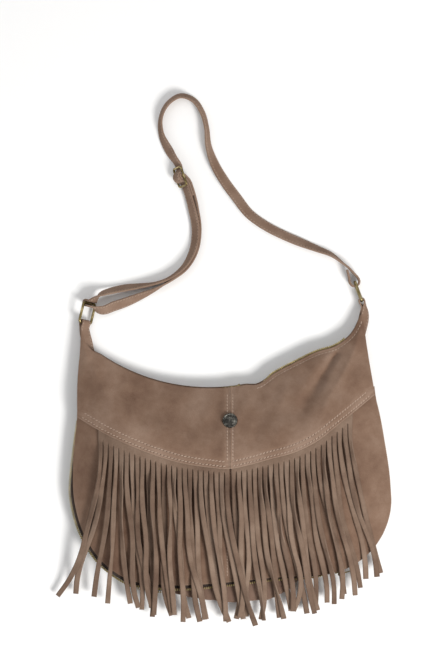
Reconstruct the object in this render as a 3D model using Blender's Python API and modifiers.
"""Fringed suede shoulder bag, lying on its back, built with Blender's own tools.

All driving sizes are in millimetres. +Z is up from the floor, +Y runs from the bag towards
its strap, and the origin is on the floor under the middle of the bag's front edge.
"""

import math

import bpy
import numpy as np
from mathutils import Matrix, Vector

MM = 0.001

# Materials' thicknesses and clearances
SUEDE = 1.4
GUSSET_SUEDE = 1.0
TAPE = 0.6
LAYER = SUEDE + 0.5
CLEAR = 0.4
TAPE_CLEAR = 0.7

# The bag's body: height of its front edge, rise of its belly and width of its shoulder
FRONT_EDGE_Z = 19.0
BELLY_RISE = 24.0
SHOULDER = 75.0
CORNER_DROP = 3.0
CORNER_REACH = 28.0
DRAPE_FALL = 17.0
DRAPE_REACH = 66.0
BACK_LIFT = 3.0
BACK_CURL = 26.0

# Outline of the front, seen from above
TOP_LEFT_POINTS = [(-171, 37), (-169, 27), (-163, 15), (-154, 8)]
TOP_RIGHT_POINTS = [(30, -29), (52, -15), (77, -2), (100, 9), (122, 16), (139, 29), (152, 54)]
TOP_ARC_CENTRE = (-24.0, 188.0)
TOP_ARC_RADIUS = 221.0
TOP_ARC_FROM = -125.0
TOP_ARC_TO = -79.0
LEFT_POINTS = [(-171, 37), (-172, 12), (-175, -25), (-175, -66)]
RIGHT_POINTS = [(152, 54), (155, 30), (159, 3), (166, -40)]
RIM_LEFT_POINTS = [(-175, -66), (-180, -120), (-178, -165), (-166, -203), (-146, -232), (-117, -252),
                   (-78, -258), (0, -255), (50, -250)]
CORNER_CENTRE = (98.0, -160.0)
CORNER_RADIUS = 87.0
LEFT_CORNER_Y = -190.0
RIGHT_CORNER_Y = CORNER_CENTRE[1] - 25.0
RIM_RIGHT_POINTS = [(183, -132), (177, -92), (171, -60), (166, -40)]
SEAM_POINTS = [(-175, -66), (-145, -83), (-115, -97), (-87, -108), (-57, -117), (-26, -122), (0, -124),
               (20, -120), (45, -113), (74, -105), (100, -92), (123, -74), (146, -56), (166, -40)]

# Creases and dimples in the front: start, end, depth and width
CREASES = [((110, -12), (86, -48), 4.0, 6.0),
           ((106, -18), (70, -78), 2.4, 13.0),
           ((-158, -2), (-120, -48), 2.0, 10.0),
           ((-118, -222), (-128, -244), 1.5, 9.0),
           ((160, -165), (148, -182), 2.5, 9.0),
           ((-40, -52), (-20, -104), 1.2, 14.0)]

# Seams
SEAM_OVERLAP = 11.0
CENTRE_SEAM = 0.5
BACK_SHOW = 1.6
CELL = 13.0
BACK_CELLS = 16

# Fringe
STRAND_WIDTH = 5.4
SLIT = 0.6
HEADER_BELOW = 10.0
STRAND_ROWS = 10
STRAND_LENGTH = 184.0
STRAND_SHORTER = 14.0
STRAIGHT_ROOT = 12.0
STRAND_BRIDGE = 24.0
STRAND_LAYER = 2.3
STRAND_LOFT = 1.9
LEFT_ROOTS = (-148.0, -3.5)
RIGHT_ROOTS = (4.0, 137.0)
TIP_LEAN = [(-148, -44), (-138, -30), (-125, 4), (-60, 10), (-3, 26), (5, 16), (70, 28), (138, 40)]
TIP_SPREAD = 9.0

# Zips: one row of teeth is ROW_HIGH by ROW_WIDE, and a slider's post passes between the rows
ROW_HIGH = 1.3
ROW_WIDE = 2.2
ROW_GAP = 1.1
CHAIN_Z = 10.6
SEWN_IN = 6.0
FRONT_TAPE_SLOPE = 0.45
BACK_TAPE_SLOPE = 0.19
RIM_CHAIN_OUT = 0.0
RIM_SLIDER_ANGLE = -72.0
TOP_CHAIN_OUT = -4.0
TOP_SLIDER_ANGLE = -81.0
TOP_ZIP_FROM = 46.0
TOP_ZIP_END = 36.0
CONVERGE = 42.0
SLIDER_LENGTH = 9.0
SLIDER_HIGH = 7.0
PLATE = 1.0
POST = 0.5
CHEEK = 0.8
PULLER_LENGTH = 21.0
PULLER_HIGH = 3.6
PULLER_THICK = 1.1
KNUCKLE_RADIUS = 1.9
PIN_RADIUS = 0.7

# Where the expansion zip stands open: distance along the rim, then how far out
# the front row, the back row and the gusset's fold lie
RIM_OPEN = [(0, 0.6, 0.3, -1.0), (45, 1.8, 1.4, 0.0), (85, 5.2, 4.5, 2.5), (200, 5.5, 6.5, 3.0),
            (240, 5.5, 10.5, 4.0), (280, 5.5, 9.0, 15.0), (325, 4.5, 4.5, 25.0), (370, 3.5, 4.5, 26.0),
            (400, 3.5, 4.5, 16.0), (430, 4.0, 4.5, 3.0), (900, 4.0, 4.5, 1.0)]
FOLD_IN = -12.0

# Stud at the centre of the yoke, at a share of the way from the top edge to the seam
STUD_X = 0.0
STUD_SHARE = 0.415
STUD_RADIUS = 8.7
STUD_HIGH = 3.0
STUD_POST = 2.0

# Strap, tabs, rings and adjuster
STRAP_WIDTH = 12.7
STRAP_THICK = 2.2
TAB_WIDTH = 11.8
TAB_THICK = 1.6
TAB_CLEAR = 0.6
RING_WIRE = 1.5
RING_LONG = 23.0
RING_WIDE = 17.0
RING_CORNER = 2.5
RING_SWING_ROOM = 2.2
RIGHT_BAR_REST = 0.9
ADJUSTER_WIRE = 1.3
ADJUSTER_HALF = 11.0
ADJUSTER_WIDE = 17.0
STRAP_LAYER = STRAP_THICK + 0.5
ROUTE_STEP = 7.0

# Left ring: centre, direction from the tab to the strap, and its tilt
LEFT_RING_AT = (-164.7, 54.0, 9.6)
LEFT_RING_LONG = (0.233, 0.972, 0.0)
LEFT_RING_TILT = 40.0
# Right ring: it stands on its long side
RIGHT_RING_AT = (148.0, 79.0, 10.2)
RIGHT_RING_LONG = (-0.342, 0.940, 0.0)
RIGHT_RING_TILT = 90.0
RIGHT_STRAP_PULL = (-0.51, 0.86, 0.0)

# Adjuster: centre, the strap's direction through it, and how far it leans up from flat
ADJUSTER_AT = (-57.5, 211.0, 11.6)
ADJUSTER_RUN = (0.316, -0.949, 0.0)
ADJUSTER_LEAN = 58.0

# The strap's route, as its owner left it: across, up, roll from flat, and height over its rest
STRAP_ROUTE = [(131, 111, 95, 1.2), (118, 121, 108, 0.4), (100, 128.5, 122, 0), (81, 136, 138, 0),
               (60, 145, 142, 0), (41, 155, 145, 0), (22, 169, 148, 0), (8, 187, 150, 0),
               (-6, 206, 148, 0), (-18, 227, 138, 0), (-25, 248, 118, 0), (-27, 268, 110, 0),
               (-32, 286, 112, 0), (-42, 300, 115, 0), (-57, 305, 114, 0), (-71, 297, 110, 0),
               (-80, 279, 106, 0), (-79, 260, 114, 0), (-71, 243, 132, 1.5)]
STRAP_DOWN = [(-43.5, 173, 128, 3.2), (-39.5, 150, 132, 2.2), (-43, 126, 126, 2.0), (-53, 108, 112, 1.4),
              (-69, 95, 101, 0.5), (-86, 88.5, 99, 0.2), (-104, 85.5, 112, 0), (-122, 83, 124, 0.4),
              (-138, 79.5, 120, 2.0), (-148, 76, 110, 4.5)]
STRAP_BACK = [(-147, 57.5, 136, 5.5), (-134, 62, 146, 2.5), (-121, 66.5, 142, 0.4), (-104, 73.5, 124, 0),
              (-87, 81, 100, 0)]
SHARED_FROM = -75.0
ADJUSTER_EXIT_ROLL = 122.0

# The strap through the adjuster, in the adjuster's own plane: along the run, and out of its face
THROUGH = [(-21, -0.6), (-15.5, -2.4), (-11, -2.9), (-7.6, -1.9), (-5.5, 0.2), (-4.2, 3.4), (0, 5.4),
           (4.2, 3.4), (5.5, 0.2), (7.6, -1.9), (11, -2.9), (16, -2.9), (22, -2.8)]
SEWN_END = [(11, -8.3), (6.5, -7.4), (2.5, -5.6), (-0.8, -3.4), (-2.7, -1.0), (-2.2, 1.7), (0, 2.8),
            (2.2, 1.7), (2.9, -0.3), (3.6, -2.5), (5.6, -4.3), (8.5, -5.3), (11.5, -5.6), (18, -5.6),
            (25, -5.5)]

# Tabs: middle line from the ring's bar into the bag, and its roll from flat
LEFT_TAB = [(-168.0, 36.8, 9.6, 38), (-167.2, 30, 9.0, 24), (-165.2, 22, 8.2, 10), (-163, 12, 7.4, 4),
            (-161, 3, 7.2, 2)]
RIGHT_TAB = [(154.2, 61, 9.8, 68), (154.8, 54, 9.2, 42), (154, 46, 8.6, 20), (152, 37, 7.8, 8),
             (149, 24, 7.4, 2)]
TAB_LEGS = 1.25

SUEDE_COLOUR = (0.30, 0.21, 0.16)
FRINGE_COLOUR = (0.27, 0.18, 0.135)
GUSSET_COLOUR = (0.24, 0.13, 0.10)
TAPE_COLOUR = (0.035, 0.02, 0.014)
BRASS_COLOUR = (0.45, 0.36, 0.13)
PEWTER_COLOUR = (0.10, 0.095, 0.09)


def clear_scene():
    """Remove the objects of the start-up scene."""
    for item in list(bpy.data.objects):
        bpy.data.objects.remove(item, do_unlink=True)


def material(name, colour, roughness, metallic=0.0):
    """A Principled material for one sub-part."""
    mat = bpy.data.materials.new(name)
    mat.use_nodes = True
    shader = mat.node_tree.nodes["Principled BSDF"]
    shader.inputs["Base Color"].default_value = (*colour, 1.0)
    shader.inputs["Roughness"].default_value = roughness
    shader.inputs["Metallic"].default_value = metallic
    return mat


# Plane curves


def smooth(knots, counts, axes):
    """A smooth curve through knots, each span cut into its own count of steps.

    The spans are Hermite curves whose slopes allow for the knots' uneven spacing.
    """
    knots = np.array(knots, float)
    gaps = np.linalg.norm(np.diff(knots[:, :axes], axis=0), axis=1)[:, None]
    slopes = np.diff(knots, axis=0) / gaps
    middle = (slopes[:-1] * gaps[1:] + slopes[1:] * gaps[:-1]) / (gaps[1:] + gaps[:-1])
    slopes = np.vstack([slopes[:1], middle, slopes[-1:]])
    pieces = []
    for k, count in enumerate(counts):
        t = np.linspace(0, 1, count, endpoint=False)[:, None]
        pieces.append((2 * t**3 - 3 * t**2 + 1) * knots[k] + (t**3 - 2 * t**2 + t) * gaps[k] * slopes[k]
                      + (3 * t**2 - 2 * t**3) * knots[k + 1] + (t**3 - t**2) * gaps[k] * slopes[k + 1])
    return np.vstack(pieces + [knots[-1:]])


def spline(points, step):
    """Points every `step` along a smooth curve through the given points."""
    dense = smooth(points, [24] * (len(points) - 1), 2)
    length = np.sum(np.linalg.norm(np.diff(dense[:, :2], axis=0), axis=1))
    return resample(dense, max(2, round(length / step) + 1))


def resample(path, count):
    """The path again, as `count` points evenly spaced along it."""
    path = np.array(path, float)
    steps = np.linalg.norm(np.diff(path, axis=0), axis=1)
    along = np.concatenate([[0], np.cumsum(steps)])
    wanted = np.linspace(0, along[-1], count)
    return np.stack([np.interp(wanted, along, path[:, k]) for k in range(path.shape[1])], axis=1)


def arc(centre, radius, start, end, step=2.0):
    """Points on a circle between two angles in degrees."""
    count = max(2, round(abs(math.radians(end - start)) * radius / step))
    angle = np.radians(np.linspace(start, end, count))
    return np.stack([centre[0] + radius * np.cos(angle), centre[1] + radius * np.sin(angle)], axis=1)


def join(*paths):
    """Paths end to end, with no point twice."""
    points = np.vstack(paths)
    keep = np.concatenate([[True], np.linalg.norm(np.diff(points, axis=0), axis=1) > 0.5])
    return points[keep]


def top_edge():
    """The front's top edge, from the left tab to the right tab."""
    middle = arc(TOP_ARC_CENTRE, TOP_ARC_RADIUS, TOP_ARC_FROM, TOP_ARC_TO)
    left = spline(TOP_LEFT_POINTS + [tuple(middle[0])], 2.0)
    right = spline([tuple(middle[-1])] + TOP_RIGHT_POINTS, 2.0)
    return join(left, middle, right)


def rim_edge():
    """The edge of the lower front, from the left yoke seam round to the right one."""
    corner = arc(CORNER_CENTRE, CORNER_RADIUS, -90, 0)
    left = spline(RIM_LEFT_POINTS + [tuple(corner[0])], 2.0)
    right = spline([tuple(corner[-1])] + RIM_RIGHT_POINTS, 2.0)
    return join(left, corner, right)


TOP = top_edge()
RIM = rim_edge()
LEFT = spline(LEFT_POINTS, 2.0)
RIGHT = spline(RIGHT_POINTS, 2.0)
SEAM = spline(SEAM_POINTS, 2.0)
OUTLINE = join(TOP, RIGHT, RIM[::-1], LEFT[::-1])


def edge_distance(xy, path):
    """Distance from each point to a path, as an array like the points'."""
    shape = xy.shape[:-1]
    flat = xy.reshape(-1, 1, 2)
    a, b = path[None, :-1], path[None, 1:]
    square = np.maximum(np.sum((b - a) ** 2, axis=2), 1e-9)
    along = np.clip(np.sum((flat - a) * (b - a), axis=2) / square, 0, 1)
    gap = flat - (a + along[..., None] * (b - a))
    return np.sqrt(np.min(np.sum(gap**2, axis=2), axis=1)).reshape(shape)


def inside(xy, path):
    """True for each point inside a closed path."""
    flat = xy.reshape(-1, 1, 2)
    a, b = path[None], np.roll(path, -1, axis=0)[None]
    straddles = (a[..., 1] > flat[..., 1]) != (b[..., 1] > flat[..., 1])
    rise = np.where(b[..., 1] == a[..., 1], 1e-9, b[..., 1] - a[..., 1])
    cross = a[..., 0] + (flat[..., 1] - a[..., 1]) / rise * (b[..., 0] - a[..., 0])
    return (np.sum(straddles & (flat[..., 0] < cross), axis=1) % 2 == 1).reshape(xy.shape[:-1])


# The body's surfaces, as heights over the floor


def crease_depth(xy):
    """How far the creases sink the front at each point."""
    depth = np.zeros(xy.shape[:-1])
    for start, end, deep, width in CREASES:
        depth += deep * np.exp(-(edge_distance(xy, np.array([start, end], float)) / width) ** 2)
    return depth


def corner_drop(xy):
    """How far the two upper corners sink towards the tabs."""
    drop = np.zeros(xy.shape[:-1])
    for corner in (TOP[0], TOP[-1]):
        drop += CORNER_DROP * np.exp(-np.sum((xy - corner) ** 2, axis=-1) / CORNER_REACH**2)
    return drop


def front_z(xy):
    """Underside of the front panels: a domed belly that falls away outside the rim."""
    xy = np.asarray(xy, float)
    depth = edge_distance(xy, np.vstack([OUTLINE, OUTLINE[:1]]))
    dome = BELLY_RISE * np.sin(np.pi / 2 * np.clip(depth / SHOULDER, 0, 1)) - crease_depth(xy)
    fade = np.clip(depth / 12, 0, 1)
    slope = BELLY_RISE * np.pi / 2 / SHOULDER
    fall = DRAPE_FALL * (1 - np.cos(np.pi * np.clip(depth / DRAPE_REACH, 0, 1))) / 2
    height = np.where(inside(xy, OUTLINE), dome * fade + (1 - fade) * slope * depth, -fall)
    return FRONT_EDGE_Z + height - corner_drop(xy)


def back_z(xy):
    """Underside of the back panel: on the floor, with its edge turned up."""
    depth = edge_distance(np.asarray(xy, float), np.vstack([OUTLINE, OUTLINE[:1]]))
    return BACK_LIFT * (1 - np.clip(depth / BACK_CURL, 0, 1)) ** 2


def crowded(count, crowd):
    """Fractions from 0 to 1, crowded towards both ends by a share from 0 to 1."""
    even = np.linspace(0, 1, count)
    return (1 - crowd) * even + crowd * (1 - np.cos(np.pi * even)) / 2


def along_path(path, fractions):
    """Points at fractions of a path's length."""
    fine = resample(path, 400)
    even = np.linspace(0, 1, 400)
    return np.stack([np.interp(fractions, even, fine[:, k]) for k in (0, 1)], axis=1)


def coons(top, bottom, left, right, across, down, crowd=0.0):
    """A grid of plane points bounded by four edges that meet at their ends."""
    u, v = crowded(across, crowd), crowded(down, crowd)
    top, bottom = along_path(top, u), along_path(bottom, u)
    left, right = along_path(left, v), along_path(right, v)
    u, v = u[None, :, None], v[:, None, None]
    ruled = (1 - v) * top[None] + v * bottom[None] + (1 - u) * left[:, None] + u * right[:, None]
    corners = ((1 - u) * (1 - v) * top[0] + u * (1 - v) * top[-1]
               + (1 - u) * v * bottom[0] + u * v * bottom[-1])
    return ruled - corners


def lift(grid, height):
    """Plane points with their heights."""
    return np.concatenate([grid, np.asarray(height)[..., None]], axis=-1)


# Solids


def finish(mesh, name, mat, thickness=None, offset=1.0):
    """Link a mesh as a named object, with a thickness if it is an open surface."""
    mesh.materials.append(mat)
    item = bpy.data.objects.new(name, mesh)
    COLLECTION.objects.link(item)
    if thickness is not None:
        solid = item.modifiers.new("Thickness", "SOLIDIFY")
        solid.thickness = thickness * MM
        solid.offset = offset
    return item


def sheet(name, grid, thickness, mat, offset=1.0):
    """An open surface from a grid of points, made solid by its thickness."""
    rows, columns = grid.shape[:2]
    corner = (np.arange(rows - 1)[:, None] * columns + np.arange(columns - 1)[None]).reshape(-1)
    faces = np.stack([corner, corner + columns, corner + columns + 1, corner + 1], axis=1)
    mesh = bpy.data.meshes.new(name)
    mesh.from_pydata((grid.reshape(-1, 3) * MM).tolist(), [], faces.tolist())
    return finish(mesh, name, mat, thickness, offset)


def ribbon(name, centres, widths, wide, thickness, mat):
    """A flat strip along a path, its width lying along the given directions."""
    tangent = np.gradient(centres, axis=0)
    tangent /= np.linalg.norm(tangent, axis=1)[:, None]
    across = widths - np.sum(widths * tangent, axis=1)[:, None] * tangent
    across /= np.linalg.norm(across, axis=1)[:, None]
    grid = np.stack([centres - across * wide / 2, centres + across * wide / 2], axis=1)
    return sheet(name, grid, thickness, mat, offset=0.0)


def clean(item):
    """Give a helper solid its own look in the viewport and keep it out of renders."""
    item.hide_render = True
    item.display_type = "WIRE"
    return item


def boolean(target, other, operation):
    """Join or cut with another solid."""
    step = target.modifiers.new(operation.title(), "BOOLEAN")
    step.operation = operation
    step.solver = "EXACT"
    step.object = other
    return step


# Body panels


def stations(path, side, step=9.0, start=0.0, end=None):
    """Points along an edge with their outward normals and distances along it."""
    path = resample(path, max(2, round(len(path) * 2.0)))
    steps = np.linalg.norm(np.diff(path, axis=0), axis=1)
    along = np.concatenate([[0], np.cumsum(steps)])
    end = along[-1] if end is None else along[-1] - end
    wanted = np.linspace(start, end, round((end - start) / step) + 1)
    points = np.stack([np.interp(wanted, along, path[:, k]) for k in (0, 1)], axis=1)
    tangent = np.gradient(points, axis=0)
    tangent /= np.linalg.norm(tangent, axis=1)[:, None]
    normal = side * np.stack([-tangent[:, 1], tangent[:, 0]], axis=1)
    return points, normal, wanted


def seam_split():
    """The yoke seam's left and right halves, parted at the centre seam."""
    middle = np.argmin(np.abs(SEAM[:, 0]))
    left, right = SEAM[:middle].copy(), SEAM[middle + 1:].copy()
    left[-1] = (-CENTRE_SEAM / 2, SEAM[middle, 1])
    right[0] = (CENTRE_SEAM / 2, SEAM[middle, 1])
    return left, right


def top_split():
    """The top edge's left and right halves."""
    middle = np.argmin(np.abs(TOP[:, 0]))
    left, right = TOP[:middle].copy(), TOP[middle + 1:].copy()
    left[-1] = (-CENTRE_SEAM / 2, TOP[middle, 1])
    right[0] = (CENTRE_SEAM / 2, TOP[middle, 1])
    return left, right


def rim_split(side):
    """The rim parted at the centre seam, and each half parted again at its lower corner."""
    middle = np.argmin(np.abs(RIM[:, 0]) + (RIM[:, 1] > -200) * 1000)
    if side == "left":
        half = RIM[:middle].copy()
        half[-1] = (-CENTRE_SEAM / 2, RIM[middle, 1])
        corner = np.argmin(np.abs(half[:, 1] - LEFT_CORNER_Y))
        return half[:corner + 1], half[corner:]
    half = RIM[middle + 1:].copy()
    half[0] = (CENTRE_SEAM / 2, RIM[middle, 1])
    corner = np.argmin(np.abs(half[:, 1] - RIGHT_CORNER_Y))
    return half[corner:][::-1], half[:corner + 1]


def panel_grid(top, bottom, left, right):
    """A panel's plane points, with cells about CELL wide."""
    def length(path):
        return np.sum(np.linalg.norm(np.diff(path, axis=0), axis=1))
    across = round(max(length(top), length(bottom)) / CELL) + 1
    down = round(max(length(left), length(right)) / CELL) + 1
    return coons(top, bottom, left, right, across, down)


def straight(start, end):
    """A straight edge between two points."""
    return np.linspace(start, end, 12)


def yoke(side, mat):
    """Half of the yoke, raised at its lower edge over the fringe and the lower front."""
    halves = seam_split()
    tops = top_split()
    if side == "left":
        seam, top = halves[0], tops[0]
        grid = panel_grid(top, seam, LEFT, straight(top[-1], seam[-1]))
    else:
        seam, top = halves[1], tops[1]
        grid = panel_grid(top, seam, straight(top[0], seam[0]), RIGHT)
    above = edge_distance(grid, SEAM)
    lap = np.clip((SEAM_OVERLAP + 12 - above) / 10, 0, 1)
    height = front_z(grid) + 2 * LAYER * lap * lap * (3 - 2 * lap)
    item = sheet("front_yoke_" + side, lift(grid, height), SUEDE, mat)
    boolean(item, STUD_HOLE, "DIFFERENCE")
    return item


def shifted_seam(side, amount):
    """Half of the yoke seam moved up the front, for the pieces that lie under it."""
    seam = seam_split()[0 if side == "left" else 1].copy()
    seam[:, 1] += amount
    return seam


def lower_front(side, mat):
    """Half of the lower front, running up under the yoke."""
    outer, bottom = rim_split(side)
    seam = shifted_seam(side, SEAM_OVERLAP - 1)
    if side == "left":
        lead = np.vstack([seam[:1], outer[4:]])
        grid = panel_grid(seam, bottom, lead, straight(seam[-1], bottom[-1]))
    else:
        lead = np.vstack([seam[-1:], outer[4:]])
        grid = panel_grid(seam, bottom, straight(seam[0], bottom[0]), lead)
    return sheet("front_lower_" + side, lift(grid, front_z(grid)), SUEDE, mat)


def back_panel(mat):
    """The back, flat on the floor with its edges turned up, a little above the front's top edge."""
    points, normal, along = stations(TOP, 1, CELL)
    show = BACK_SHOW * np.sin(np.pi * along / along[-1]) ** 0.5
    top = points + normal * show[:, None]
    outer_left, bottom_left = rim_split("left")
    outer_right, bottom_right = rim_split("right")
    left = join(LEFT, outer_left)
    right = join(RIGHT, outer_right)
    bottom = join(bottom_left, bottom_right)
    grid = coons(top, bottom, left, right, BACK_CELLS + 1, BACK_CELLS + 1, crowd=0.7)
    return sheet("back_panel", lift(grid, back_z(grid)), SUEDE, mat)


# Fringe


def seam_y(x):
    """Height up the front of the yoke seam at a given place across."""
    return np.interp(x, SEAM[:, 0], SEAM[:, 1])


def strand_paths(roots):
    """Centre lines of one half's strands, seen from above."""
    dice = np.random.default_rng(7 if roots[0] < 0 else 11)
    root_x = np.linspace(roots[0], roots[1], round((roots[1] - roots[0]) / (STRAND_WIDTH + SLIT)) + 1)
    lean_at, lean = zip(*TIP_LEAN)
    paths = []
    for x in root_x:
        reach = STRAND_LENGTH - STRAND_SHORTER * math.cos(x / 150 * math.pi / 2) + dice.uniform(-6, 5)
        tip = np.interp(x, lean_at, lean) + dice.uniform(-TIP_SPREAD, TIP_SPREAD)
        sway = dice.uniform(-3.0, 3.0)
        along = np.linspace(0, 1, STRAND_ROWS + 1)
        free = np.clip((along * reach - STRAIGHT_ROOT) / (reach - STRAIGHT_ROOT), 0, 1)
        side = tip * free ** 1.5 + sway * np.sin(2 * np.pi * free) * free
        down = reach * along * math.sqrt(max(0.5, 1 - (tip / reach) ** 2))
        y = seam_y(x) - HEADER_BELOW - down
        paths.append(np.stack([x + side, y], axis=1))
    return root_x, paths


def drape_z(xy):
    """Where the strands lie: the front's height, smoothed as far as the suede's stiffness bridges."""
    shifts = np.linspace(-STRAND_BRIDGE, STRAND_BRIDGE, 7)
    return np.mean([front_z(xy + np.array([0.0, shift])) for shift in shifts], axis=0) + STRAND_LOFT


def crossing(path, other):
    """True where two strands lie over each other beyond their straight roots."""
    fine, rest = resample(path, 80)[6:], resample(other, 80)[6:]
    gaps = np.linalg.norm(fine[:, None] - rest[None], axis=2)
    return gaps.min() < STRAND_WIDTH + 0.3


def strand_layers(paths):
    """Lay each strand in the lowest layer that is free of the strands it crosses."""
    dice = np.random.default_rng(5)
    layers = [-1] * len(paths)
    for k in dice.permutation(len(paths)):
        near = [j for j in range(max(0, k - 9), min(len(paths), k + 10)) if layers[j] >= 0 and j != k]
        taken = {layers[j] for j in near if crossing(paths[k], paths[j])}
        layers[k] = min(set(range(len(paths))) - taken)
    return layers


def fringe(side, mat):
    """Half of the fringe: a header under the yoke, cut into strands that lie over the front."""
    left_x, left_paths = strand_paths(LEFT_ROOTS)
    right_x, right_paths = strand_paths(RIGHT_ROOTS)
    layers = strand_layers(left_paths + right_paths)
    if side == "left":
        root_x, paths = left_x, left_paths
    else:
        root_x, paths, layers = right_x, right_paths, layers[len(left_x):]
    half = STRAND_WIDTH / 2
    columns = np.stack([root_x - half, root_x + half], axis=1).reshape(-1)
    rises = np.array([SEAM_OVERLAP - 2, 0.0, -HEADER_BELOW])
    header = np.stack([np.tile(columns, (3, 1)), seam_y(columns)[None] + rises[:, None]], axis=-1)
    verts = [lift(header, front_z(header) + LAYER).reshape(-1, 3)]
    width = len(columns)
    faces = []
    for row in range(2):
        for k in range(width - 1):
            a = row * width + k
            faces.append((a, a + width, a + width + 1, a + 1))
    count = 3 * width
    for k, path in enumerate(paths):
        tangent = np.gradient(path, axis=0)
        tangent /= np.linalg.norm(tangent, axis=1)[:, None]
        across = np.stack([-tangent[:, 1], tangent[:, 0]], axis=1)
        walked = np.linspace(0, 1, len(path)) * STRAND_LENGTH
        ramp = np.clip((walked - 6) / 20, 0, 1)
        grid = np.stack([path - across * half, path + across * half], axis=1)
        ramp = ramp[:, None]
        height = (1 - ramp) * front_z(grid) + ramp * (drape_z(grid) + layers[k] * STRAND_LAYER) + LAYER
        verts.append(lift(grid[1:], height[1:]).reshape(-1, 3))
        left, right = 2 * width + 2 * k, 2 * width + 2 * k + 1
        for row in range(len(path) - 1):
            a, b = count + 2 * row, count + 2 * row + 1
            faces.append((left, a, b, right))
            left, right = a, b
        count += 2 * (len(path) - 1)
    mesh = bpy.data.meshes.new("fringe_" + side)
    mesh.from_pydata((np.vstack(verts) * MM).tolist(), [], faces)
    return finish(mesh, "fringe_" + side, mat, SUEDE, 1.0)


# Zips


def edge_profile(points, normal, out, height):
    """Points along an edge, moved out from it and set to a height."""
    return lift(points + normal * np.asarray(out)[:, None], height)


def tape_level(xy, up):
    """Middle of a tape that lies against the front's underside or on the back's inside."""
    away = TAPE_CLEAR + TAPE / 2
    return front_z(xy) - away if up > 0 else back_z(xy) + SUEDE + away


def zip_tapes(kind, edge, closed, chain_out, open_out, mats):
    """Both tapes and both rows of teeth of a zip along an edge, shut where `closed` is 1."""
    points, normal = edge
    front_out, back_out = open_out
    sewn = min(0.0, chain_out) - SEWN_IN
    rise = (ROW_GAP + ROW_HIGH) / 2
    for name, out, up in (("front", front_out, 1.0), ("back", back_out, -1.0)):
        flat_z = tape_level(points, up) - 0.3 * up
        row_out = closed * chain_out + (1 - closed) * out
        row_z = closed * (CHAIN_Z + up * rise) + (1 - closed) * flat_z
        row = np.stack([edge_profile(points, normal, row_out + half, row_z)
                        for half in (-ROW_WIDE / 2, ROW_WIDE / 2)], axis=1)
        sheet(f"{kind}_zip_{name}_teeth", row, ROW_HIGH, mats["brass"], offset=0.0)
        mix = closed * (1 - closed)
        start_out = row_out - (1 - closed) * (ROW_WIDE / 2 + CLEAR) - mix * 2.2
        start_z = row_z + up * (closed * (ROW_HIGH / 2 + CLEAR) + mix * 2.2)
        bend_out = closed * (chain_out - 0.2) + (1 - closed) * np.minimum(out - 3.2, 0.8)
        edge_z = tape_level(points + normal * np.minimum(0.0, bend_out)[:, None], up)
        edge_z -= up * (FRONT_TAPE_SLOPE if up > 0 else BACK_TAPE_SLOPE) * np.maximum(0.0, bend_out)
        sewn_z = tape_level(points + normal * sewn, up)
        tape = np.stack([edge_profile(points, normal, start_out, start_z),
                         edge_profile(points, normal, bend_out, edge_z),
                         edge_profile(points, normal, np.full(len(points), sewn), sewn_z)], axis=1)
        sheet(f"{kind}_zip_{name}_tape", tape, TAPE, mats["tape"], offset=0.0)


def shut(along, slider_at):
    """How far a zip is shut at each distance: 0 where it stands open, 1 behind its slider."""
    part = np.clip((along - (slider_at - CONVERGE)) / (CONVERGE - 6.0), 0, 1)
    return part * part * (3 - 2 * part)


def rim_zip(mats):
    """The expansion zip round the rim and the gusset that shows where it stands open."""
    points, normal, along = stations(RIM, -1, start=3.0, end=3.0)
    centre = np.array(CORNER_CENTRE)
    angle = np.degrees(np.arctan2(points[:, 1] - centre[1], points[:, 0] - centre[0]))
    after = (angle > RIM_SLIDER_ANGLE) & (points[:, 0] > centre[0])
    slider_at = along[np.argmax(after)]
    closed = shut(along, slider_at)
    key, front_out, back_out, fold = (np.array(column, float) for column in zip(*RIM_OPEN))
    rows = np.interp(along, key, front_out), np.interp(along, key, back_out)
    zip_tapes("expansion", (points, normal), closed, RIM_CHAIN_OUT, rows, mats)
    out = np.interp(along, key, fold)
    tuck = np.clip((along - (slider_at - CONVERGE - 20)) / 40, 0, 1)
    out = out * (1 - tuck) + FOLD_IN * tuck
    away = TAPE / 2 + CLEAR + 0.3 + GUSSET_SUEDE / 2
    sewn = points - normal * 6.0
    hem = np.full(len(points), -6.0)
    lower, upper = tape_level(points, -1) + away, tape_level(points, 1) - away
    tip_z = (lower + upper) / 2 - 2.0 * np.clip(out / 27, 0, 1)
    turn_out = -2.0 + 7.0 * np.minimum(out, 0) / -FOLD_IN
    turn_up = 0.8 * np.minimum(out, 0) / FOLD_IN
    rows = [(hem, tape_level(sewn, -1) + away), (turn_out, lower + turn_up), (out - 2.0, tip_z - 1.9),
            (out - 2.0, tip_z + 1.9), (turn_out, upper - turn_up), (hem, tape_level(sewn, 1) - away)]
    grid = np.stack([edge_profile(points, normal, o, z) for o, z in rows], axis=1)[::2]
    sheet("expansion_gusset", grid, GUSSET_SUEDE, mats["gusset"], offset=0.0)


def top_zip(mats):
    """The zip across the bag's mouth, shut on the left and open on the right."""
    points, normal, along = stations(TOP, 1, start=TOP_ZIP_FROM, end=TOP_ZIP_END)
    centre = np.array(TOP_ARC_CENTRE)
    angle = np.degrees(np.arctan2(points[:, 1] - centre[1], points[:, 0] - centre[0]))
    slider_at = along[np.argmax(angle > TOP_SLIDER_ANGLE)]
    closed = shut(-along, -slider_at)
    rows = np.full(len(points), 2.0), np.full(len(points), 1.0)
    zip_tapes("top", (points, normal), closed, TOP_CHAIN_OUT, rows, mats)


def box(name, size, centre, mat):
    """A rectangular block."""
    bpy.ops.mesh.primitive_cube_add(size=1.0, location=Vector(centre) * MM)
    item = bpy.context.object
    item.name = name
    item.data.name = name
    item.data.transform(Matrix.Diagonal((size[0] * MM, size[1] * MM, size[2] * MM, 1.0)))
    item.data.materials.append(mat)
    home(item)
    return item


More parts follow.
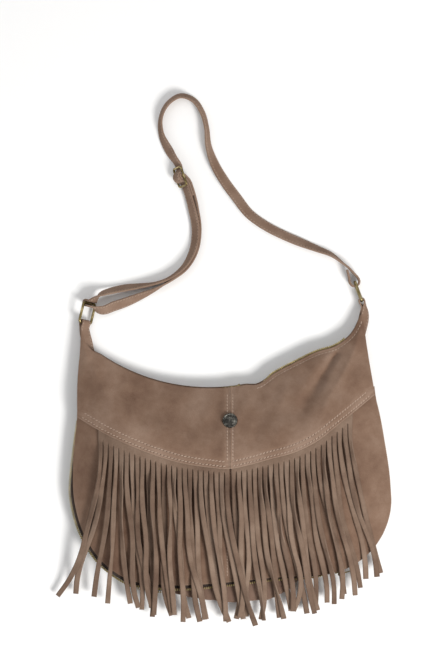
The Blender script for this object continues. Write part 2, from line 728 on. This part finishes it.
def home(item):
    """Keep an object in this part's own collection."""
    for group in item.users_collection:
        group.objects.unlink(item)
    COLLECTION.objects.link(item)


def cylinder(name, radius, length, centre, mat, sides=16):
    """An upright cylinder."""
    bpy.ops.mesh.primitive_cylinder_add(vertices=sides, radius=radius * MM, depth=length * MM,
                                        location=Vector(centre) * MM)
    item = bpy.context.object
    item.name = name
    item.data.name = name
    item.data.materials.append(mat)
    home(item)
    return item


def fused(name, blocks, mat):
    """One closed mesh from overlapping blocks."""
    first = blocks[0]
    for other in blocks[1:]:
        boolean(first, other, "UNION")
    bpy.context.view_layer.update()
    graph = bpy.context.evaluated_depsgraph_get()
    mesh = bpy.data.meshes.new_from_object(first.evaluated_get(graph))
    mesh.transform(first.matrix_world)
    mesh.name = name
    for item in blocks:
        bpy.data.objects.remove(item, do_unlink=True)
    mesh.materials.clear()
    return finish(mesh, name, mat)


def slider(kind, centre, radius, angle, inward, shut_side, mats):
    """A zip's slider and its puller, the slider's origin at the centre of the teeth's arc."""
    turn = math.radians(angle)
    radial = Vector((math.cos(turn), math.sin(turn), 0))
    outward = -radial if inward else radial
    along = Vector((-radial.y, radial.x, 0)) * shut_side
    at = Vector((centre[0] + radius * radial.x, centre[1] + radius * radial.y, CHAIN_Z))
    upright = along.cross(outward).z
    frame = Matrix(((along.x, outward.x, 0, at.x * MM), (along.y, outward.y, 0, at.y * MM),
                    (0, 0, upright, at.z * MM), (0, 0, 0, 1)))
    inner = ROW_WIDE / 2 + CLEAR
    pin_y = inner + PLATE + CLEAR + KNUCKLE_RADIUS
    cheek_z = PULLER_HIGH / 2 + CLEAR + CHEEK / 2
    brass = mats["brass"]
    blocks = [box("outer_plate", (SLIDER_LENGTH, PLATE, SLIDER_HIGH), (0, inner + PLATE / 2, 0), brass),
              box("inner_plate", (SLIDER_LENGTH, PLATE, SLIDER_HIGH), (0, -inner - PLATE / 2, 0), brass),
              box("post", (2.4, 2 * inner + PLATE, POST), (-SLIDER_LENGTH / 2 + 1.6, 0, 0), brass),
              cylinder("pin", PIN_RADIUS, 2 * cheek_z, (0, pin_y, 0), brass, 12)]
    cheek_deep = pin_y + 1.3 - (inner + PLATE / 2)
    for side in (-1, 1):
        blocks.append(box("cheek", (2.8, cheek_deep, CHEEK),
                          (0, inner + PLATE / 2 + cheek_deep / 2, side * cheek_z), brass))
    body = fused(f"{kind}_zip_slider", blocks, brass)
    hub = Vector((centre[0], centre[1], CHAIN_Z)) * MM
    body.data.transform(Matrix.Translation(-hub) @ frame)
    body.location = hub
    body.data.update()
    outline = bpy.data.curves.new(f"{kind}_zip_puller", "CURVE")
    outline.dimensions = "2D"
    outline.fill_mode = "BOTH"
    outline.extrude = PULLER_HIGH / 2 * MM
    angles = np.radians(np.linspace(18, 342, 17))
    ring = [(KNUCKLE_RADIUS * math.cos(a), KNUCKLE_RADIUS * math.sin(a)) for a in angles]
    bar = [(PULLER_LENGTH, -PULLER_THICK / 2), (PULLER_LENGTH, PULLER_THICK / 2)]
    hole_radius = PIN_RADIUS + CLEAR
    hole = [(hole_radius * math.cos(a), hole_radius * math.sin(a))
            for a in np.radians(np.arange(0, 360, 30))]
    for loop in (ring + bar, hole):
        line = outline.splines.new("POLY")
        line.points.add(len(loop) - 1)
        for point, (x, y) in zip(line.points, loop):
            point.co = (x * MM, y * MM, 0, 1)
        line.use_cyclic_u = True
    outline.materials.append(brass)
    puller = bpy.data.objects.new(f"{kind}_zip_puller", outline)
    COLLECTION.objects.link(puller)
    puller.matrix_world = frame @ Matrix.Translation((0, pin_y * MM, 0))


# Stud


def stud_place():
    """The stud's centre on the front and the direction that the front faces there."""
    x = STUD_X
    high = np.interp(x, TOP[:, 0], TOP[:, 1])
    y = high + STUD_SHARE * (np.interp(x, SEAM[:, 0], SEAM[:, 1]) - high)
    near = front_z(np.array([[x, y], [x + 1, y], [x - 1, y], [x, y + 1], [x, y - 1]], float))
    facing = Vector((-(near[1] - near[2]) / 2, -(near[3] - near[4]) / 2, 1)).normalized()
    return Vector((x, y, near[0])), facing


def turned(name, profile, mat, steps=28, flip=False):
    """A solid of revolution about Z from a profile of (radius, height) points."""
    mesh = bpy.data.meshes.new(name)
    mesh.from_pydata([(r * MM, 0, z * MM) for r, z in profile], [(k, k + 1) for k in range(len(profile) - 1)], [])
    item = finish(mesh, name, mat)
    screw = item.modifiers.new("Turn", "SCREW")
    screw.steps = steps
    screw.render_steps = steps
    screw.use_merge_vertices = True
    screw.merge_threshold = 0.00001
    screw.use_normal_calculate = True
    screw.use_normal_flip = flip
    return item


def place_on_front(item, at, facing):
    """Stand an object's Z axis along the front's own direction."""
    item.matrix_world = Matrix.Translation(at * MM) @ facing.to_track_quat("Z", "Y").to_matrix().to_4x4()


def stud(mats):
    """The snap stud: a rimmed cap over the yoke, its rivet and the socket behind."""
    at, facing = stud_place()
    top = SUEDE + CLEAR + 0.4
    under = -(CLEAR + 0.5)
    cap = [(0, under - 1.2), (STUD_POST, under - 1.2), (STUD_POST, top), (STUD_RADIUS - 0.6, top),
           (STUD_RADIUS, top + 0.6), (STUD_RADIUS, top + 1.4), (STUD_RADIUS - 0.6, top + 2.0),
           (STUD_RADIUS - 1.6, top + 2.0), (STUD_RADIUS - 2.1, top + 1.5), (4.0, top + 1.9),
           (2.0, top + STUD_HIGH - 0.9), (0, top + STUD_HIGH - 0.8)]
    place_on_front(turned("stud_cap", cap, mats["pewter"]), at, facing)
    hole = STUD_POST + CLEAR
    back = [(hole, under - 1.8), (6.5, under - 1.8), (6.5, under), (hole, under), (hole, under - 1.8)]
    place_on_front(turned("stud_back", back, mats["pewter"], flip=True), at, facing)


# Rings, tabs and strap


def unit(vector):
    """The vector at a length of one."""
    vector = np.asarray(vector, float)
    return vector / np.linalg.norm(vector)


def ring_frame(long, tilt):
    """A ring's three directions: along it, along its bars, and out of its plane."""
    long = unit(long)
    level = np.array([long[1], -long[0], 0.0])
    lean = math.radians(tilt)
    bar = level * math.cos(lean) - np.array([0, 0, 1.0]) * math.sin(lean)
    return long, bar, np.cross(bar, long)


def rounded_loop(half_long, half_wide, corner):
    """A rounded rectangle's plane points, going round once."""
    points = []
    for sx, sy, start in ((1, 1, 0), (-1, 1, 90), (-1, -1, 180), (1, -1, 270)):
        for angle in np.radians(start + np.linspace(0, 90, 4)):
            points.append((sx * (half_long - corner) + corner * math.cos(angle),
                           sy * (half_wide - corner) + corner * math.sin(angle)))
    return points


def wire(name, points, radius, mat, cyclic=True):
    """A round wire along points."""
    curve = bpy.data.curves.new(name, "CURVE")
    curve.dimensions = "3D"
    curve.bevel_depth = radius * MM
    curve.bevel_resolution = 2
    curve.use_fill_caps = True
    line = curve.splines.new("POLY")
    line.points.add(len(points) - 1)
    for point, place in zip(line.points, points):
        point.co = (*(np.asarray(place) * MM), 1)
    line.use_cyclic_u = cyclic
    curve.materials.append(mat)
    item = bpy.data.objects.new(name, curve)
    COLLECTION.objects.link(item)
    return item


def ring(name, at, long, tilt, mat):
    """A rectangular wire ring, its origin on the bar that its tab holds."""
    along, bar, _ = ring_frame(long, tilt)
    loop = rounded_loop(RING_LONG / 2, RING_WIDE / 2, RING_CORNER)
    pivot = np.array(at) - along * RING_LONG / 2
    item = wire(name, [along * (x + RING_LONG / 2) + bar * y for x, y in loop], RING_WIRE, mat)
    item.location = Vector(pivot) * MM


def adjuster_frame():
    """The adjuster's directions: along the strap, along its bars, and out of its face."""
    run = unit(ADJUSTER_RUN)
    side = np.array([-run[1], run[0], 0.0])
    lean = math.radians(ADJUSTER_LEAN)
    bar = side * math.cos(lean) + np.array([0, 0, 1.0]) * math.sin(lean)
    return run, bar, np.cross(run, bar)


def adjuster(mat):
    """The tri-glide: a wire frame with a bar across its middle."""
    run, bar, _ = adjuster_frame()
    at = np.array(ADJUSTER_AT)
    loop = rounded_loop(ADJUSTER_HALF, ADJUSTER_WIDE / 2, RING_CORNER)
    frame = wire("frame", [at + run * x + bar * y for x, y in loop], ADJUSTER_WIRE, mat)
    half = ADJUSTER_WIDE / 2
    middle = wire("middle", [at - bar * half, at + bar * half], ADJUSTER_WIRE * 0.96, mat, cyclic=False)
    fused("strap_adjuster", [as_mesh(frame), as_mesh(middle)], mat)


def as_mesh(item):
    """A curve's solid as a mesh object in its place."""
    bpy.context.view_layer.update()
    mesh = bpy.data.meshes.new_from_object(item.evaluated_get(bpy.context.evaluated_depsgraph_get()))
    solid = bpy.data.objects.new(item.name, mesh)
    COLLECTION.objects.link(solid)
    bpy.data.objects.remove(item, do_unlink=True)
    return solid


def rolled(rows):
    """Strap points on the floor, with the direction of the strap's upper edge at each."""
    rows = np.array(rows, float)
    tangent = np.gradient(rows[:, :2], axis=0)
    tangent /= np.linalg.norm(tangent, axis=1)[:, None]
    right = np.stack([tangent[:, 1], -tangent[:, 0], np.zeros(len(rows))], axis=1)
    roll = np.radians(rows[:, 2])
    up = np.array([0, 0, 1.0])
    edge = np.cos(roll)[:, None] * right + np.sin(roll)[:, None] * up
    rest = STRAP_WIDTH / 2 * np.sin(roll) + STRAP_THICK / 2 * np.abs(np.cos(roll)) + 0.4
    return np.concatenate([rows[:, :2], (rest + rows[:, 3])[:, None], edge], axis=1)


def placed(points, edge):
    """Points with one direction of the upper edge for all."""
    points = np.array(points, float)
    return np.concatenate([points, np.tile(edge, (len(points), 1))], axis=1)


def in_adjuster(pairs):
    """Points given in the adjuster's plane, in the bag's frame."""
    run, bar, face = adjuster_frame()
    return placed([np.array(ADJUSTER_AT) + run * u + face * n for u, n in pairs], bar)


def loop_round(centre, pull, side, radius, near):
    """Half a turn round a ring's bar, from one side to the other, ending towards the pull."""
    turn = np.radians(np.linspace(0, 180, 7))
    return [centre + pull * near + side * radius * math.cos(a) - pull * radius * math.sin(a) for a in turn]


def strap_controls():
    """All the strap's control points in order, with its upper edge's direction."""
    long, _, _ = ring_frame(RIGHT_RING_LONG, RIGHT_RING_TILT)
    bar_at = np.array(RIGHT_RING_AT) + long * RING_LONG / 2
    pull = unit(RIGHT_STRAP_PULL)
    west = np.array([-pull[1], pull[0], 0.0])
    seat = RING_WIRE + CLEAR + STRAP_THICK / 2
    wide = seat + RING_SWING_ROOM
    right_end = [bar_at + pull * 17 + west * 1.7, bar_at + pull * 10 + west * 3.6]
    right_end += loop_round(bar_at, pull, west, wide, RIGHT_BAR_REST)
    right_end += [bar_at + pull * 10 - west * 3.6, bar_at + pull * 17 - west * 1.7]
    up = np.array([0, 0, 1.0])

    through = in_adjuster(THROUGH)
    down = rolled([tuple(through[-1, :2]) + (ADJUSTER_EXIT_ROLL, 0)] + STRAP_DOWN)[1:]

    long, bar, face = ring_frame(LEFT_RING_LONG, LEFT_RING_TILT)
    bar_at = np.array(LEFT_RING_AT) + long * RING_LONG / 2
    left_end = [bar_at + long * seat + face * reach for reach in (4,)]
    left_end += loop_round(bar_at, face, long, seat, -RING_SWING_ROOM)
    left_end += [bar_at - long * seat + face * reach for reach in (4,)]

    first = np.vstack([in_adjuster(THROUGH[-2:]), down])
    tangent = np.gradient(first[:, :3], axis=0)
    normal = np.cross(tangent, first[:, 3:])
    normal /= np.linalg.norm(normal, axis=1)[:, None]
    below = np.concatenate([[2, 2], np.clip(1.6 - 0.6 * np.arange(len(down)), 1, 2)])
    second = first.copy()
    second[:, :3] -= normal * (below * STRAP_LAYER)[:, None]
    second = second[second[:, 0] > SHARED_FROM][::-1]
    back = rolled(STRAP_BACK)
    return [placed(right_end, up), rolled(STRAP_ROUTE), through, down, placed(left_end, -bar), back,
            second, in_adjuster(SEWN_END)]


def smooth_route(controls):
    """A smooth curve through control points, with more stations where they lie closer."""
    knots = np.vstack(controls)
    gaps = np.linalg.norm(np.diff(knots[:, :3], axis=0), axis=1)
    return smooth(knots, [max(1, math.ceil(gap / ROUTE_STEP)) for gap in gaps], 3)


def strap(mat):
    """The shoulder strap: one ribbon from the right ring to its sewn end at the adjuster."""
    route = smooth_route(strap_controls())
    ribbon("strap", route[:, :3], route[:, 3:], STRAP_WIDTH, STRAP_THICK, mat)


def tab(name, rows, at, long, tilt, mat):
    """A strip folded round its ring's bar, both legs running into the bag."""
    along, bar, _ = ring_frame(long, tilt)
    bar_at = np.array(at) - along * RING_LONG / 2
    rows = np.array(rows, float)
    places = np.vstack([bar_at[None], rows[:, :3]])
    tangent = np.gradient(places, axis=0)
    tangent[0] = -along
    tangent /= np.linalg.norm(tangent, axis=1)[:, None]
    left_hand = np.stack([-tangent[:, 1], tangent[:, 0], np.zeros(len(places))], axis=1)
    up = np.array([0, 0, 1.0])
    roll = np.radians(np.concatenate([[tilt], rows[:, 3]]))
    edge = -np.cos(roll)[:, None] * left_hand + np.sin(roll)[:, None] * up
    edge[0] = -bar
    face = np.cross(edge, tangent)
    face /= np.linalg.norm(face, axis=1)[:, None]
    seat = RING_WIRE + TAB_CLEAR + TAB_THICK / 2
    spread = np.full(len(places), TAB_LEGS)
    spread[0] = seat
    upper = np.concatenate([places + face * spread[:, None], edge], axis=1)
    lower = np.concatenate([places - face * spread[:, None], edge], axis=1)
    turn = loop_round(bar_at, -along, face[0], seat, 0.0)[1:-1]
    route = smooth_route([upper[::-1], placed(turn, edge[0]), lower])
    ribbon(name, route[:, :3], route[:, 3:], TAB_WIDTH, TAB_THICK, mat)


clear_scene()
COLLECTION = bpy.data.collections.new("fringed_suede_bag")
bpy.context.scene.collection.children.link(COLLECTION)
MATS = {"suede": material("suede", SUEDE_COLOUR, 0.95),
        "fringe": material("fringe_suede", FRINGE_COLOUR, 0.95),
        "gusset": material("gusset_suede", GUSSET_COLOUR, 0.95),
        "tape": material("zip_tape", TAPE_COLOUR, 0.85),
        "brass": material("antique_brass", BRASS_COLOUR, 0.35, 1.0),
        "pewter": material("pewter", PEWTER_COLOUR, 0.4, 1.0)}
STUD_HOLE = clean(cylinder("stud_hole", STUD_POST + CLEAR, 20.0, stud_place()[0], MATS["pewter"]))
STUD_HOLE.rotation_euler = stud_place()[1].to_track_quat("Z", "Y").to_euler()
for SIDE in ("left", "right"):
    yoke(SIDE, MATS["suede"])
    lower_front(SIDE, MATS["suede"])
    fringe(SIDE, MATS["fringe"])
back_panel(MATS["suede"])
rim_zip(MATS)
top_zip(MATS)
slider("expansion", CORNER_CENTRE, CORNER_RADIUS + RIM_CHAIN_OUT, RIM_SLIDER_ANGLE, False, 1, MATS)
slider("top", TOP_ARC_CENTRE, TOP_ARC_RADIUS - TOP_CHAIN_OUT, TOP_SLIDER_ANGLE, True, -1, MATS)
stud(MATS)
for SIDE, ROWS, AT, LONG, TILT in (("left", LEFT_TAB, LEFT_RING_AT, LEFT_RING_LONG, LEFT_RING_TILT),
                                   ("right", RIGHT_TAB, RIGHT_RING_AT, RIGHT_RING_LONG, RIGHT_RING_TILT)):
    ring(SIDE + "_ring", AT, LONG, TILT, MATS["brass"])
    tab(SIDE + "_tab", ROWS, AT, LONG, TILT, MATS["suede"])
adjuster(MATS["brass"])
strap(MATS["suede"])
